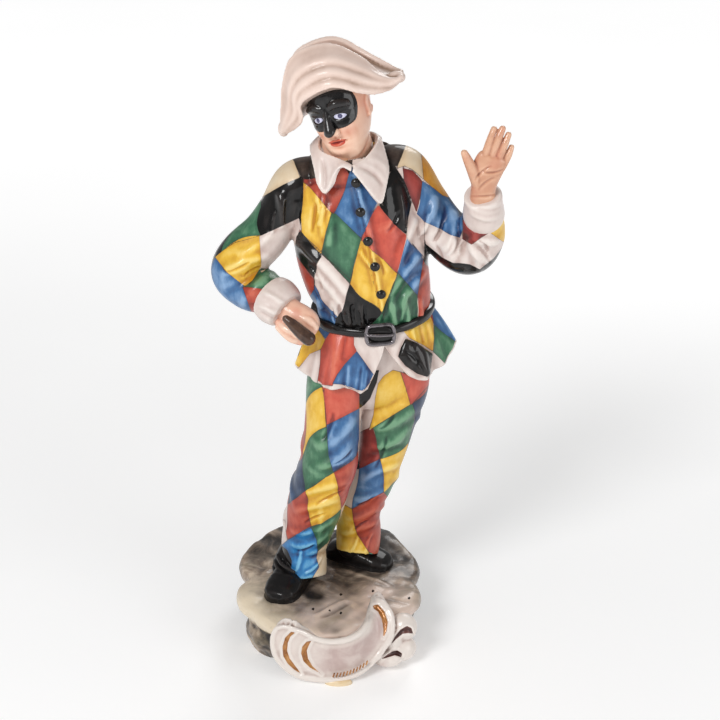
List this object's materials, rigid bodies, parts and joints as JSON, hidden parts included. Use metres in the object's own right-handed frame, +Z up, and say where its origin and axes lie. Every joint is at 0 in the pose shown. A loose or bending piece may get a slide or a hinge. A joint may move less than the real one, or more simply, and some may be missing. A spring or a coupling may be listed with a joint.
{
  "type": "porcelain harlequin figurine",
  "caption": "Painted porcelain figurine of a masked harlequin in a patchwork suit and two-cornered hat, one hand raised, on a rock base with a white scroll.",
  "frame": {"origin": "middle of the rock base's flat underside", "axes": "+Z up through the figure, -Y towards the side that the figure and the white scroll face, +X to the viewer's right"},
  "size_m": [0.146, 0.1158, 0.33],
  "materials": {
    "porcelain": "hand-painted and glazed"
  },
  "bodies": {
    "root": {"figurine": "porcelain"}
  },
  "joints": []
}
